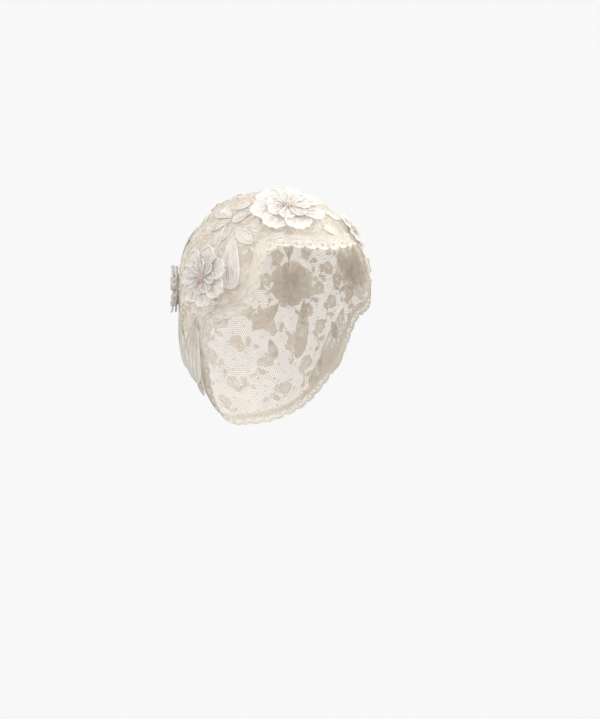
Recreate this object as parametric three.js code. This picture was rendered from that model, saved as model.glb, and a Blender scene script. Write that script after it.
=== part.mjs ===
// Lace juliet cap: a close cap of net that covers the crown, the ears and the nape and leaves the
// face free, with a scalloped edging and lace blossoms and leaves sewn on.
// Millimetres, +Z up, the face toward -Y. The origin is the inside of the crown's highest point.
import * as THREE from "three";

// The head inside the cap, measured from the head's middle
const HEAD_HALF_WIDTH = 78;
const HEAD_FRONT = 93;
const HEAD_BACK = 101;
const HEAD_CROWN = 86;
const HEAD_NAPE = 134;

// Thickness of each kind of lace, and the play left between two layers
const NET_THICKNESS = 1;
const EDGING_THICKNESS = 1;
const LACE_THICKNESS = 1.2;
const SEWING_GAP = 0.35;

// The scalloped edging
const EDGING_WIDTH = 10;
const SCALLOP_DEPTH = 3;
const SCALLOP_PITCH = 11;

// Blossoms, from the middle to the tip of a petal
const CROWN_BLOSSOM = 31;
const SIDE_BLOSSOM = 30;
const TEMPLE_BLOSSOM = 16;
const BACK_BLOSSOM = 20;
const BACK_CROWN_BLOSSOM = 27;
const KNOT_RADIUS = 4.5;
const KNOT_HEIGHT = 2.6;
const KNOT_EDGE_HEIGHT = 0.8;
const PETAL_NOTCH = 0.26;
const INNER_PETALS = 0.58;

// Leaves
const TAIL_LEAF_LENGTH = 54;
const TAIL_LEAF_WIDTH = 28;
const TAIL_TIP_RISE = 5;
const TAIL_LEAF_FULLNESS = 1.9;
const SPRAY_LEAF_LENGTH = 31;
const SPRAY_LEAF_WIDTH = 14;
const SPRAY_TIP_RISE = 1.2;
const SPRAY_LEAF_FULLNESS = 1.2;
const LOOSE_PETAL_LENGTH = 43;
const LOOSE_PETAL_WIDTH = 17;
const LOOSE_PETAL_RISE = 0.6;
const LEAF_BLUNTNESS = 0.9;
const LEAF_RIDGE = 1.4;
const LEAF_TIP = 1.5;
const LEAF_CLEARANCE = 1.5;

// How finely the curved sheets are divided
const NET_COLUMNS = 48;
const NET_RINGS = 13;
const STEPS_IN_SCALLOP = 4;
const STEPS_IN_PETAL = 6;
const PETAL_RINGS = 3;
const KNOT_COLUMNS = 10;
const KNOT_RINGS = 3;
const LEAF_STATIONS = 8;

// Half of the cap's edge, from the middle of the brow to the middle of the nape, in degrees:
// around the head from the face, and up from the level of the head's middle.
const EDGE = [
  { around: 0, up: 25.5 },
  { around: 16, up: 27 },
  { around: 30, up: 28.5 },
  { around: 38.5, up: 25 },
  { around: 41.5, up: 14 },
  { around: 43.5, up: 3 },
  { around: 50, up: -6.5 },
  { around: 62, up: -12.5 },
  { around: 76, up: -18.5 },
  { around: 82, up: -27 },
  { around: 87, up: -39 },
  { around: 98, up: -54 },
  { around: 114, up: -65 },
  { around: 142, up: -70.5 },
  { around: 180, up: -71.5 },
];

// The place farthest from the edge, where the net's rings start
const NET_MIDDLE = { around: 180, up: 35 };

// Rows under named columns, as one object for each row.
function table(columns, ...rows) {
  return rows.map((row) => Object.fromEntries(columns.map((column, i) => [column, row[i]])));
}

// The sides of the head that have a piece, as the endings of its names
const MIDDLE = [""];
const RIGHT = ["_right"];
const LEFT = ["_left"];
const BOTH = [...RIGHT, ...LEFT];

// How far off the head a piece starts that is sewn to the net, or over the edging
const SEATS = {
  net: NET_THICKNESS + SEWING_GAP,
  edging: NET_THICKNESS + EDGING_THICKNESS + 2 * SEWING_GAP,
};

// Blossoms: where the middle lies, the radius, the height as a share of the width, the number of petals,
// how far their tips rise as a share of the radius, how many rings of petals lie over each other, and
// what the blossom is sewn to.
const BLOSSOMS = table(
  ["name", "around", "up", "radius", "tall", "petals", "rise", "layers", "seat", "sides"],
  ["crown", 20, 55, CROWN_BLOSSOM, 1, 7, 0.13, 2, "net", MIDDLE],
  ["side", 83, 9.5, SIDE_BLOSSOM, 0.84, 7, 0.17, 2, "net", BOTH],
  ["temple", 37, 35.5, TEMPLE_BLOSSOM, 1, 5, 0.1, 1, "edging", LEFT],
  ["back", 137, -1, BACK_BLOSSOM, 1, 6, 0.36, 1, "net", BOTH],
  ["back_crown", 180, 44, BACK_CROWN_BLOSSOM, 1, 6, 0.14, 2, "net", MIDDLE],
);

// Leaves: the blossom that each springs from, the bearing of its stalk there in degrees clockwise from
// up, how far beyond the petals the stalk lies as a share of the leaf's length, the turn of the leaf
// away from that bearing, and its length and width as shares of its kind's.
const LEAVES = table(
  ["name", "blossom", "bearing", "beyond", "turn", "kind", "long", "wide", "sides"],
  ["tail_leaf_long", "side", -158, 0.1, -6, "tail", 0.96, 0.9, BOTH],
  ["tail_leaf_back", "back", 139, -0.02, 46, "tail", 0.9, 0.5, BOTH],
  ["tail_leaf_tip", "side", -159, 1.95, -10, "tail", 0.45, 0.36, BOTH],
  ["face_leaf", "side", 35, 0.22, 131, "petal", 1, 1, RIGHT],
  ["temple_leaf", "side", 26, 0.7, 90, "spray", 0.78, 0.8, RIGHT],
  ["ear_leaf", "side", 18, 1.1, -178, "spray", 0.48, 0.7, RIGHT],
  ["crown_side_leaf", "side", 7, 0.78, -77, "spray", 1, 1, BOTH],
  ["crown_leaf_right", "crown", -84, 0.1, 3, "spray", 0.5, 0.8, MIDDLE],
  ["crown_leaf_left", "crown", 89, 0.12, 5, "spray", 0.44, 0.76, MIDDLE],
  ["back_top_leaf", "back", -4, 0.08, 4, "spray", 1.1, 1, BOTH],
  ["back_leaf", "back", -148, 0.02, 14, "spray", 1, 1, BOTH],
  ["nape_leaf", "back_crown", 142, 0.02, 24, "spray", 1.1, 1.1, BOTH],
);
const LEAF_KINDS = {
  tail: {
    length: TAIL_LEAF_LENGTH,
    width: TAIL_LEAF_WIDTH,
    tipSeat: SEATS.edging,
    tipRise: TAIL_TIP_RISE,
    fullness: TAIL_LEAF_FULLNESS,
  },
  spray: {
    length: SPRAY_LEAF_LENGTH,
    width: SPRAY_LEAF_WIDTH,
    tipSeat: SEATS.net,
    tipRise: SPRAY_TIP_RISE,
    fullness: SPRAY_LEAF_FULLNESS,
  },
  petal: {
    length: LOOSE_PETAL_LENGTH,
    width: LOOSE_PETAL_WIDTH,
    tipSeat: SEATS.net,
    tipRise: LOOSE_PETAL_RISE,
    fullness: TAIL_LEAF_FULLNESS,
  },
};

// Colours and surfaces of the laces
const LACES = {
  net: { color: 0xe2d5c6, roughness: 0.95 },
  edging: { color: 0xe6dccf, roughness: 0.92 },
  blossom: { color: 0xf1eee8, roughness: 0.85 },
  leaf: { color: 0xebe5dc, roughness: 0.88 },
  knot: { color: 0xd8c4b4, roughness: 0.8 },
};

const radians = THREE.MathUtils.degToRad;

// The head's surface

function directionOf(around, up) {
  const level = Math.cos(radians(up));
  const [aside, ahead] = [Math.sin(radians(around)), Math.cos(radians(around))];
  return new THREE.Vector3(-aside * level, -ahead * level, Math.sin(radians(up)));
}

function headAxes(direction) {
  const depth = direction.y < 0 ? HEAD_FRONT : HEAD_BACK;
  const height = direction.z < 0 ? HEAD_NAPE : HEAD_CROWN;
  return new THREE.Vector3(HEAD_HALF_WIDTH, depth, height);
}

function headRadius(direction) {
  return 1 / direction.clone().divide(headAxes(direction)).length();
}

// A point that far off the head, with the origin moved to the crown.
function overHead(direction, lift) {
  const axes = headAxes(direction);
  const point = direction.clone().multiplyScalar(headRadius(direction));
  const outward = point.clone().divide(axes).divide(axes).normalize();
  point.addScaledVector(outward, lift);
  point.z -= HEAD_CROWN;
  return point;
}

// Places on the cap: a direction out of the head, with the ways ahead and aside along its surface

function placeAt({ around, up }) {
  const out = directionOf(around, up);
  const ahead = directionOf(around, up + 90);
  return { out, ahead, aside: ahead.clone().cross(out) };
}

// Clockwise as seen from outside.
function turned({ out, ahead, aside }, degrees) {
  const turn = new THREE.Quaternion().setFromAxisAngle(out, -radians(degrees));
  return { out, ahead: ahead.clone().applyQuaternion(turn), aside: aside.clone().applyQuaternion(turn) };
}

function walked(place, length) {
  const angle = length / headRadius(place.out);
  const step = new THREE.Quaternion().setFromAxisAngle(place.aside, -angle);
  return {
    out: place.out.clone().applyQuaternion(step),
    ahead: place.ahead.clone().applyQuaternion(step),
    aside: place.aside,
  };
}

// The point reached by going aside and ahead along the surface, then lifted off it.
function pointFrom(place, { aside, ahead, lift }) {
  const bearing = THREE.MathUtils.radToDeg(Math.atan2(aside, ahead));
  const reached = walked(turned(place, bearing), Math.hypot(aside, ahead));
  return overHead(reached.out, lift);
}

// Solids

// The triangles are counted over points in this order: all the tops, then all the undersides.
function solidFromSheet({ tops, unders, triangles, border }) {
  const below = tops.length;
  const faces = triangles.map((face) => [...face]);
  for (const [a, b, c] of triangles) {
    faces.push([a + below, c + below, b + below]);
  }
  border.forEach((from, i) => {
    const to = border[(i + 1) % border.length];
    faces.push([from + below, to + below, to], [from + below, to, from]);
  });
  return solidFromFaces([...tops, ...unders], faces);
}

function solidFromFaces(points, faces) {
  const geometry = new THREE.BufferGeometry();
  const coordinates = points.flatMap((point) => point.toArray());
  geometry.setAttribute("position", new THREE.Float32BufferAttribute(coordinates, 3));
  geometry.setIndex(faces.flat());
  geometry.computeVertexNormals();
  return geometry;
}

// Rings around a middle point, counter-clockwise as seen from outside.
function ringFaces(rings, columns) {
  const at = (ring, column) => 1 + ring * columns + (column % columns);
  const triangles = [];
  for (let column = 0; column < columns; column++) {
    triangles.push([0, at(0, column), at(0, column + 1)]);
    for (let ring = 1; ring < rings; ring++) {
      const [a, b] = [at(ring - 1, column), at(ring - 1, column + 1)];
      const [c, d] = [at(ring, column), at(ring, column + 1)];
      triangles.push([a, c, d], [a, d, b]);
    }
  }
  const border = Array.from({ length: columns }, (_, column) => at(rings - 1, column));
  return { triangles, border };
}

// Rows from one end to the other, each from left to right as seen from outside.
function rowFaces(rows, across) {
  const at = (row, column) => row * across + column;
  const triangles = [];
  for (let row = 1; row < rows; row++) {
    for (let column = 1; column < across; column++) {
      const [a, b] = [at(row - 1, column - 1), at(row - 1, column)];
      const [c, d] = [at(row, column - 1), at(row, column)];
      triangles.push([a, b, d], [a, d, c]);
    }
  }
  const last = across - 1;
  const border = [];
  for (let column = 0; column < last; column++) border.push(at(0, column));
  for (let row = 0; row < rows - 1; row++) border.push(at(row, last));
  for (let column = last; column > 0; column--) border.push(at(rows - 1, column));
  for (let row = rows - 1; row > 0; row--) border.push(at(row, 0));
  return { triangles, border };
}

// A sheet sewn down around a place: spots in its own plane, each with the lift of its underside.
function laceSheet(place, spots, thickness, { triangles, border }) {
  const tops = spots.map((spot) => pointFrom(place, { ...spot, lift: spot.lift + thickness }));
  const unders = spots.map((spot) => pointFrom(place, spot));
  return solidFromSheet({ tops, unders, triangles, border });
}

function mirrored(geometry) {
  const points = geometry.getAttribute("position");
  for (let i = 0; i < points.count; i++) points.setX(i, -points.getX(i));
  const index = geometry.getIndex();
  for (let i = 0; i < index.count; i += 3) {
    const second = index.getX(i + 1);
    index.setX(i + 1, index.getX(i + 2));
    index.setX(i + 2, second);
  }
  geometry.computeVertexNormals();
  return geometry;
}

// Net and edging

// The cap's edge as directions, evenly spaced and counter-clockwise as seen from the back.
function edgeDirections(count) {
  const left = EDGE.map(({ around, up }) => directionOf(-around, up));
  const right = EDGE.slice(1, -1).map(({ around, up }) => directionOf(around, up)).reverse();
  const bends = [...left, ...right].map((direction) => direction.multiplyScalar(headRadius(direction)));
  const curve = new THREE.CatmullRomCurve3(bends, true, "centripetal");
  const directions = curve.getSpacedPoints(count).slice(0, count).map((point) => point.normalize());
  return { directions, length: curve.getLength() };
}

// The direction that lies a share of the way from one direction to another.
function between(from, to, share) {
  const angle = from.angleTo(to);
  const [before, after] = [Math.sin(angle * (1 - share)), Math.sin(angle * share)];
  return from.clone().multiplyScalar(before).addScaledVector(to, after).normalize();
}

function netGround() {
  const middle = placeAt(NET_MIDDLE).out;
  const { directions } = edgeDirections(NET_COLUMNS);
  const spots = [middle];
  for (let ring = 1; ring <= NET_RINGS; ring++) {
    spots.push(...directions.map((edge) => between(middle, edge, ring / NET_RINGS)));
  }
  const tops = spots.map((direction) => overHead(direction, NET_THICKNESS));
  const unders = spots.map((direction) => overHead(direction, 0));
  return solidFromSheet({ tops, unders, ...ringFaces(NET_RINGS, NET_COLUMNS) });
}

// A hoop of four-cornered sections that lies on the net and hangs over its edge in scallops.
function scallopEdging() {
  const middle = placeAt(NET_MIDDLE).out;
  const scallops = Math.round(edgeDirections(NET_COLUMNS).length / SCALLOP_PITCH);
  const columns = scallops * STEPS_IN_SCALLOP;
  const under = NET_THICKNESS + SEWING_GAP;
  const points = edgeDirections(columns).directions.flatMap((edge, column) => {
    const reach = middle.angleTo(edge) * headRadius(edge);
    const bulge = Math.sqrt(Math.abs(Math.sin((Math.PI * column) / STEPS_IN_SCALLOP)));
    const inner = between(middle, edge, 1 - EDGING_WIDTH / reach);
    const outer = between(middle, edge, 1 + (SCALLOP_DEPTH * bulge) / reach);
    return [
      overHead(inner, under),
      overHead(inner, under + EDGING_THICKNESS),
      overHead(outer, under + EDGING_THICKNESS),
      overHead(outer, under),
    ];
  });
  const corners = 4;
  const faces = [];
  for (let column = 0; column < columns; column++) {
    const next = (column + 1) % columns;
    for (let corner = 0; corner < corners; corner++) {
      const beside = (corner + 1) % corners;
      const [a, b] = [column * corners + corner, column * corners + beside];
      const [c, d] = [next * corners + corner, next * corners + beside];
      faces.push([a, b, d], [a, d, c]);
    }
  }
  return solidFromFaces(points, faces);
}

// Blossoms

// How far out a petal's edge lies, as a share of the blossom's radius: 1 at the petals' tips.
function petalReach(angle, petals) {
  const fullness = Math.sqrt(Math.abs(Math.sin((petals * angle) / 2)));
  return 1 - PETAL_NOTCH * (1 - fullness);
}

// A blossom rises toward its petals' tips, as a share of its radius.
function petalRise({ radius, rise }, distance) {
  return rise * radius * (distance / radius) ** 2;
}

function petalLayer(blossom, radius, lift) {
  const columns = blossom.petals * STEPS_IN_PETAL;
  const spots = [{ aside: 0, ahead: 0, lift }];
  for (let ring = 1; ring <= PETAL_RINGS; ring++) {
    for (let column = 0; column < columns; column++) {
      const angle = (2 * Math.PI * column) / columns;
      const distance = radius * petalReach(angle, blossom.petals) * (ring / PETAL_RINGS);
      spots.push({
        aside: distance * Math.cos(angle),
        ahead: distance * Math.sin(angle) * blossom.tall,
        lift: lift + petalRise(blossom, distance),
      });
    }
  }
  return laceSheet(placeAt(blossom), spots, LACE_THICKNESS, ringFaces(PETAL_RINGS, columns));
}

// The thread knots in the middle of a blossom, as one low dome.
function knotCluster(blossom, lift) {
  const place = placeAt(blossom);
  const tops = [];
  const unders = [];
  const addPoint = (share, angle) => {
    const distance = KNOT_RADIUS * share;
    const spot = { aside: distance * Math.cos(angle), ahead: distance * Math.sin(angle) };
    const under = lift + petalRise(blossom, distance);
    const dome = THREE.MathUtils.lerp(KNOT_HEIGHT, KNOT_EDGE_HEIGHT, share ** 2);
    tops.push(pointFrom(place, { ...spot, lift: under + dome }));
    unders.push(pointFrom(place, { ...spot, lift: under }));
  };
  addPoint(0, 0);
  for (let ring = 1; ring <= KNOT_RINGS; ring++) {
    for (let column = 0; column < KNOT_COLUMNS; column++) {
      addPoint(ring / KNOT_RINGS, (2 * Math.PI * column) / KNOT_COLUMNS);
    }
  }
  return solidFromSheet({ tops, unders, ...ringFaces(KNOT_RINGS, KNOT_COLUMNS) });
}

// Each layer of a blossom lies over the one before it, and the knots lie on top.
function blossomPieces(blossom) {
  const layerNames = ["petals", "inner_petals"].slice(0, blossom.layers);
  const liftOf = (layer) => SEATS[blossom.seat] + layer * (LACE_THICKNESS + SEWING_GAP);
  const layers = layerNames.map((name, layer) => ({
    name,
    lace: LACES.blossom,
    geometry: petalLayer(blossom, blossom.radius * INNER_PETALS ** layer, liftOf(layer)),
  }));
  const knots = knotCluster(blossom, liftOf(blossom.layers));
  return [...layers, { name: "knots", lace: LACES.knot, geometry: knots }];
}

// Leaves

// Half of a leaf's width as a share of its widest half: narrow at the stalk, full past the middle,
// and with a higher fullness later and blunter.
function leafFullness(share, fullness) {
  return Math.sin(Math.PI * share ** fullness) ** (LEAF_BLUNTNESS / fullness);
}

// A leaf lies on the net at its stalk and rises toward its tip, with a ridge for a vein.
function leafGeometry(leaf) {
  const blossom = BLOSSOMS.find(({ name }) => name === leaf.blossom);
  const kind = LEAF_KINDS[leaf.kind];
  const length = kind.length * leaf.long;
  const widest = (kind.width * leaf.wide) / 2;
  const tipLift = kind.tipSeat + kind.tipRise * leaf.long;
  const toStalk = blossom.radius + LEAF_CLEARANCE + leaf.beyond * length;
  const stalk = turned(walked(turned(placeAt(blossom), leaf.bearing), toStalk), leaf.turn);
  const spots = [];
  for (let station = 0; station < LEAF_STATIONS; station++) {
    const share = station / (LEAF_STATIONS - 1);
    const half = Math.max(widest * leafFullness(share, kind.fullness), LEAF_TIP / 2);
    const climb = THREE.MathUtils.smoothstep(share, 0, 1);
    const lift = THREE.MathUtils.lerp(SEATS.net, tipLift, climb);
    const ahead = share * length;
    spots.push({ aside: -half, ahead, lift });
    spots.push({ aside: 0, ahead, lift: lift + (LEAF_RIDGE * half) / widest });
    spots.push({ aside: half, ahead, lift });
  }
  return laceSheet(stalk, spots, LACE_THICKNESS, rowFaces(LEAF_STATIONS, 3));
}

// The cap

const cap = new THREE.Group();

function add(name, lace, geometry) {
  const mesh = new THREE.Mesh(geometry, new THREE.MeshStandardMaterial({ ...lace, metalness: 0 }));
  mesh.name = name;
  cap.add(mesh);
}

// The left side's pieces mirror the right's.
function addOnSide(side, name, lace, geometry) {
  add(name, lace, LEFT.includes(side) ? mirrored(geometry) : geometry);
}

add("lace_ground", LACES.net, netGround());
add("scallop_edging", LACES.edging, scallopEdging());
for (const blossom of BLOSSOMS) {
  for (const side of blossom.sides) {
    for (const piece of blossomPieces(blossom)) {
      addOnSide(side, `${blossom.name}_blossom${side}_${piece.name}`, piece.lace, piece.geometry);
    }
  }
}
for (const leaf of LEAVES) {
  for (const side of leaf.sides) addOnSide(side, leaf.name + side, LACES.leaf, leafGeometry(leaf));
}

export default cap;
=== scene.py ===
# %% [markdown]
# # A lace juliet cap
# A juliet cap is a close bridal cap that covers the crown, the ears and the nape. This one is made of a
# fine net worked with small sprigs, a scalloped edging round its border, and lace blossoms and leaves
# sewn on by hand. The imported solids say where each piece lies. This lesson builds the lace over them.

import math

import bmesh
import bpy
import numpy as np
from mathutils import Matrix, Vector


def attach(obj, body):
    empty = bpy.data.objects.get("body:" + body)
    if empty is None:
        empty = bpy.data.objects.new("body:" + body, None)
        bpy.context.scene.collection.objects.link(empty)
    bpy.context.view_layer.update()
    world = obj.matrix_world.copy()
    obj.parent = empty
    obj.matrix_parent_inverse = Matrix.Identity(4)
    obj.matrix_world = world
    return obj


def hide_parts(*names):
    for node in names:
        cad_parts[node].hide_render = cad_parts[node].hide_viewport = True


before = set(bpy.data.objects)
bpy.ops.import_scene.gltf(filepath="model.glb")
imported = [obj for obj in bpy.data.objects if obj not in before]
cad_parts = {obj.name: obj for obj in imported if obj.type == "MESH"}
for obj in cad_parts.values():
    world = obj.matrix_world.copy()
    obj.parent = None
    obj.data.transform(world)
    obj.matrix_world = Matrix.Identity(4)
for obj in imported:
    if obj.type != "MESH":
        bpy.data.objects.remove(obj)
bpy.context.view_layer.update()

# %% [markdown]
# ## The camera
# The lens is worked out from the picture: the cap, 1.5 m away, shows at 1.126 pixels for a millimetre.
# The picture's middle lies below and to the right of the cap, so the camera is turned to that point.
# A shifted lens would give the same framing, but a turned camera keeps the other views simple.

# %% Camera
CAP_MIDDLE = Vector((0, 0, -0.086))
CAMERA_AROUND, CAMERA_UP = math.radians(-33), math.radians(4)
CAMERA_DISTANCE = 1.5
PIXELS_PER_METRE = 1126
PICTURE_HEIGHT = 719
MIDDLE_RIGHT_PX, MIDDLE_DOWN_PX = 25.5, 71
SENSOR_MM = 36

back = Vector(
    (
        math.sin(CAMERA_AROUND) * math.cos(CAMERA_UP),
        -math.cos(CAMERA_AROUND) * math.cos(CAMERA_UP),
        math.sin(CAMERA_UP),
    )
)
right = Vector((math.cos(CAMERA_AROUND), math.sin(CAMERA_AROUND), 0))
upward = back.cross(right)
aim = CAP_MIDDLE + (right * MIDDLE_RIGHT_PX - upward * MIDDLE_DOWN_PX) / PIXELS_PER_METRE
camera = bpy.data.objects.new("camera", bpy.data.cameras.new("camera"))
camera.data.lens = PIXELS_PER_METRE * CAMERA_DISTANCE / PICTURE_HEIGHT * SENSOR_MM
camera.data.sensor_width = SENSOR_MM
camera.location = CAP_MIDDLE + back * CAMERA_DISTANCE
camera.rotation_mode = "QUATERNION"
camera.rotation_quaternion = (aim - camera.location).to_track_quat("-Z", "Y")
bpy.context.scene.collection.objects.link(camera)
bpy.context.scene.camera = camera
print("lens", round(camera.data.lens, 1), "mm, aimed at", tuple(round(c, 3) for c in aim))

# %% [markdown]
# ## Colours and shader nodes
# Colours are picked as sRGB hex values, as in any paint program, but shaders add up light and want
# linear numbers, so one function turns them. Another adds a node with its settings and its links,
# which keeps each material below down to a few readable lines.

# %% Colour and node helpers
def linear(colour):
    """An sRGB hex colour as linear red, green and blue with full alpha."""
    shares = [int(colour[i : i + 2], 16) / 255 for i in (0, 2, 4)]
    bent = [s / 12.92 if s <= 0.04045 else ((s + 0.055) / 1.055) ** 2.4 for s in shares]
    return (*bent, 1.0)


def add_node(tree, kind, links=None, inputs=None, **settings):
    """Adds a node. inputs are values for its sockets, and links are the sockets that feed them."""
    node = tree.nodes.new(kind)
    for name, value in settings.items():
        setattr(node, name, value)
    for name, value in (inputs or {}).items():
        node.inputs[name].default_value = value
    for name, socket in (links or {}).items():
        tree.links.new(socket, node.inputs[name])
    return node


print("ecru as linear light:", [round(c, 3) for c in linear("e6dccf")])

# %% [markdown]
# ## The studio
# Pale lace needs soft light that still has a direction, or its relief vanishes. The sky gives an even
# light that is brighter from above. A small lamp, high at the picture's left and a little behind the
# cap, grazes the petals and draws their edges with short shadows to the lower right. A wide lamp above
# the camera's right fills those shadows, and a wide low one in front reaches inside the cap. The camera
# sees the sky as one pale grey, because a light path node tells what is seen from what lights. The floor
# glows in that grey, so it has no edge to draw the eye, and it lights nothing else.

# %% Sky
BACKDROP, DAYLIGHT = "f8f8f8", "fefdfb"
SKY_BELOW, SKY_ABOVE = 0.4, 1.25
scene = bpy.context.scene
scene.view_settings.view_transform = "Standard"
sky = bpy.data.worlds.new("studio_sky")
sky.use_nodes = True
scene.world = sky
tree = sky.node_tree
tree.nodes.clear()
place = add_node(tree, "ShaderNodeTexCoord")
height = add_node(tree, "ShaderNodeSeparateXYZ", {"Vector": place.outputs["Generated"]})
brighter = add_node(
    tree,
    "ShaderNodeMapRange",
    {"Value": height.outputs["Z"]},
    {"From Min": -1, "From Max": 1, "To Min": SKY_BELOW, "To Max": SKY_ABOVE},
)
sky_light = add_node(
    tree, "ShaderNodeBackground", {"Strength": brighter.outputs["Result"]}, {"Color": linear(DAYLIGHT)}
)
seen = add_node(tree, "ShaderNodeBackground", inputs={"Color": linear(BACKDROP)})
path = add_node(tree, "ShaderNodeLightPath")
either = add_node(
    tree,
    "ShaderNodeMixShader",
    {0: path.outputs["Is Camera Ray"], 1: sky_light.outputs[0], 2: seen.outputs[0]},
)
add_node(tree, "ShaderNodeOutputWorld", {"Surface": either.outputs[0]})
print("the camera sees the sky as", BACKDROP)

# %% Lamps
def soft_lamp(name, around, up, distance, size, watts, colour):
    """A square area lamp that faces the cap's middle. around is in degrees from straight ahead."""
    turn, rise = math.radians(around), math.radians(up)
    lamp = bpy.data.objects.new(name, bpy.data.lights.new(name, "AREA"))
    towards = Vector(
        (math.sin(turn) * math.cos(rise), -math.cos(turn) * math.cos(rise), math.sin(rise))
    )
    lamp.location = CAP_MIDDLE + towards * distance
    lamp.rotation_mode = "QUATERNION"
    lamp.rotation_quaternion = (-towards).to_track_quat("-Z", "Y")
    lamp.data.size = size
    lamp.data.energy = watts
    lamp.data.color = linear(colour)[:3]
    scene.collection.objects.link(lamp)


# Degrees around and up, metres away, metres across, watts and colour.
soft_lamp("window_light", -112, 42, 1.6, 0.4, 8, "fcfdff")
soft_lamp("room_light", 34, 40, 1.7, 1.4, 17, "fffefb")
soft_lamp("front_fill", 0, -8, 1.8, 1.2, 11, "fffefb")

# %% Floor
FLOOR_HEIGHT, FLOOR_RADIUS, FLOOR_CORNERS = -0.6, 3.0, 96
bpy.ops.mesh.primitive_circle_add(
    vertices=FLOOR_CORNERS, radius=FLOOR_RADIUS, fill_type="NGON", location=(0, 0, FLOOR_HEIGHT)
)
floor = bpy.context.object
floor.name = "floor"
floor_paper = bpy.data.materials.new("glowing_backdrop_paper")
floor_paper.use_nodes = True
tree = floor_paper.node_tree
tree.nodes.clear()
glow = add_node(tree, "ShaderNodeEmission", inputs={"Color": linear(BACKDROP)})
add_node(tree, "ShaderNodeOutputMaterial", {"Surface": glow.outputs[0]})
floor.data.materials.append(floor_paper)
floor.visible_diffuse = floor.visible_glossy = False
print("floor", -FLOOR_HEIGHT, "m below the crown")

# %% [markdown]
# ## The cap's inner surface
# Every piece lies on one smooth round surface, the inside of the net. Its front, back, crown and nape
# each have a half axis of their own. A direction from its middle gives a point on it, and a lift moves
# that point off along the surface's own normal. The numbers are the solids' own, in millimetres, so the
# lace lies on them. numpy works on all the points of a piece at once, which keeps so many corners quick.

# %% Surface helpers
MM = 0.001
HALF_WIDTH, FRONT, BACK, CROWN, NAPE = 78, 93, 101, 86, 134
# Added where a length of nothing would otherwise be divided by.
TINY = 1e-12


def direction_of(around, up):
    """A unit direction, in degrees around from the brow and up from level."""
    turn, rise = np.radians(around), np.radians(up)
    level = np.cos(rise)
    return np.stack([-np.sin(turn) * level, -np.cos(turn) * level, np.sin(rise) + 0 * turn], axis=-1)


def unit(vectors):
    return vectors / np.linalg.norm(vectors, axis=-1, keepdims=True)


def axes_at(directions):
    axes = np.empty_like(directions)
    axes[..., 0] = HALF_WIDTH
    axes[..., 1] = np.where(directions[..., 1] < 0, FRONT, BACK)
    axes[..., 2] = np.where(directions[..., 2] < 0, NAPE, CROWN)
    return axes


def surface_radius(directions):
    return 1 / np.linalg.norm(directions / axes_at(directions), axis=-1)


def outward_at(directions):
    return unit(directions / axes_at(directions) ** 2)


def off_surface(directions, lift):
    """Points that far off the inner surface, with the origin at the inside of the crown."""
    points = directions * surface_radius(directions)[..., None]
    points = points + outward_at(directions) * np.reshape(lift, (-1, 1))
    return points - np.array([0, 0, CROWN])


crown_point = off_surface(direction_of(np.array([0.0]), np.array([90.0])), np.zeros(1))
print("inside of the crown at", np.round(crown_point[0], 3))

# %% [markdown]
# A sewn piece is drawn flat first, as a paper pattern with a way aside and a way ahead, and is then
# smoothed over the surface from its own place. That keeps its size wherever it is sewn.

# %% Places and patterns
def place_at(around, up):
    """The direction of a place, with the ways ahead, which is upward, and aside along the surface."""
    out = direction_of(np.float64(around), np.float64(up))
    ahead = direction_of(np.float64(around), np.float64(up) + 90)
    return {"out": out, "ahead": ahead, "aside": np.cross(ahead, out)}


def turned(place, degrees):
    """Clockwise, as seen from outside."""
    cosine, sine = math.cos(math.radians(degrees)), math.sin(math.radians(degrees))
    ahead, aside = place["ahead"], place["aside"]
    return {
        "out": place["out"],
        "ahead": cosine * ahead + sine * aside,
        "aside": cosine * aside - sine * ahead,
    }


def walked(place, length):
    """The place that many millimetres ahead over the surface, facing the same way."""
    angle = length / surface_radius(place["out"])
    cosine, sine = math.cos(angle), math.sin(angle)
    out, ahead = place["out"], place["ahead"]
    return {
        "out": cosine * out + sine * ahead,
        "ahead": cosine * ahead - sine * out,
        "aside": place["aside"],
    }


def reached(place, pattern):
    """The directions of a flat pattern's points, which are millimetres aside and ahead."""
    pattern = np.asarray(pattern, float)
    distance = np.linalg.norm(pattern, axis=-1, keepdims=True)
    heading = (pattern / np.maximum(distance, TINY)) @ np.stack([place["aside"], place["ahead"]])
    angle = distance / surface_radius(place["out"])
    return unit(np.cos(angle) * place["out"] + np.sin(angle) * heading)


def laid(place, pattern, lift):
    return off_surface(reached(place, pattern), lift)


ear = place_at(83, 9.5)
print("10 mm ahead of the ear:", np.round(laid(ear, [[0, 10]], np.zeros(1))[0], 1))

# %% [markdown]
# ## Lace as meshes
# Lace is thread round holes. A mesh with real holes lets light and sight through, casts a lace shadow
# and keeps its edge when it is seen from the side, which a see-through texture doesn't. The recipe has
# two steps. A sheet is first divided into triangles. Then each point of that lattice becomes the middle
# of a hole, and what is left around the holes, one small triangle in each triangle and one bar across
# each edge, is the net. A point with no openness stays closed, so one recipe makes net and solid work.

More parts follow.
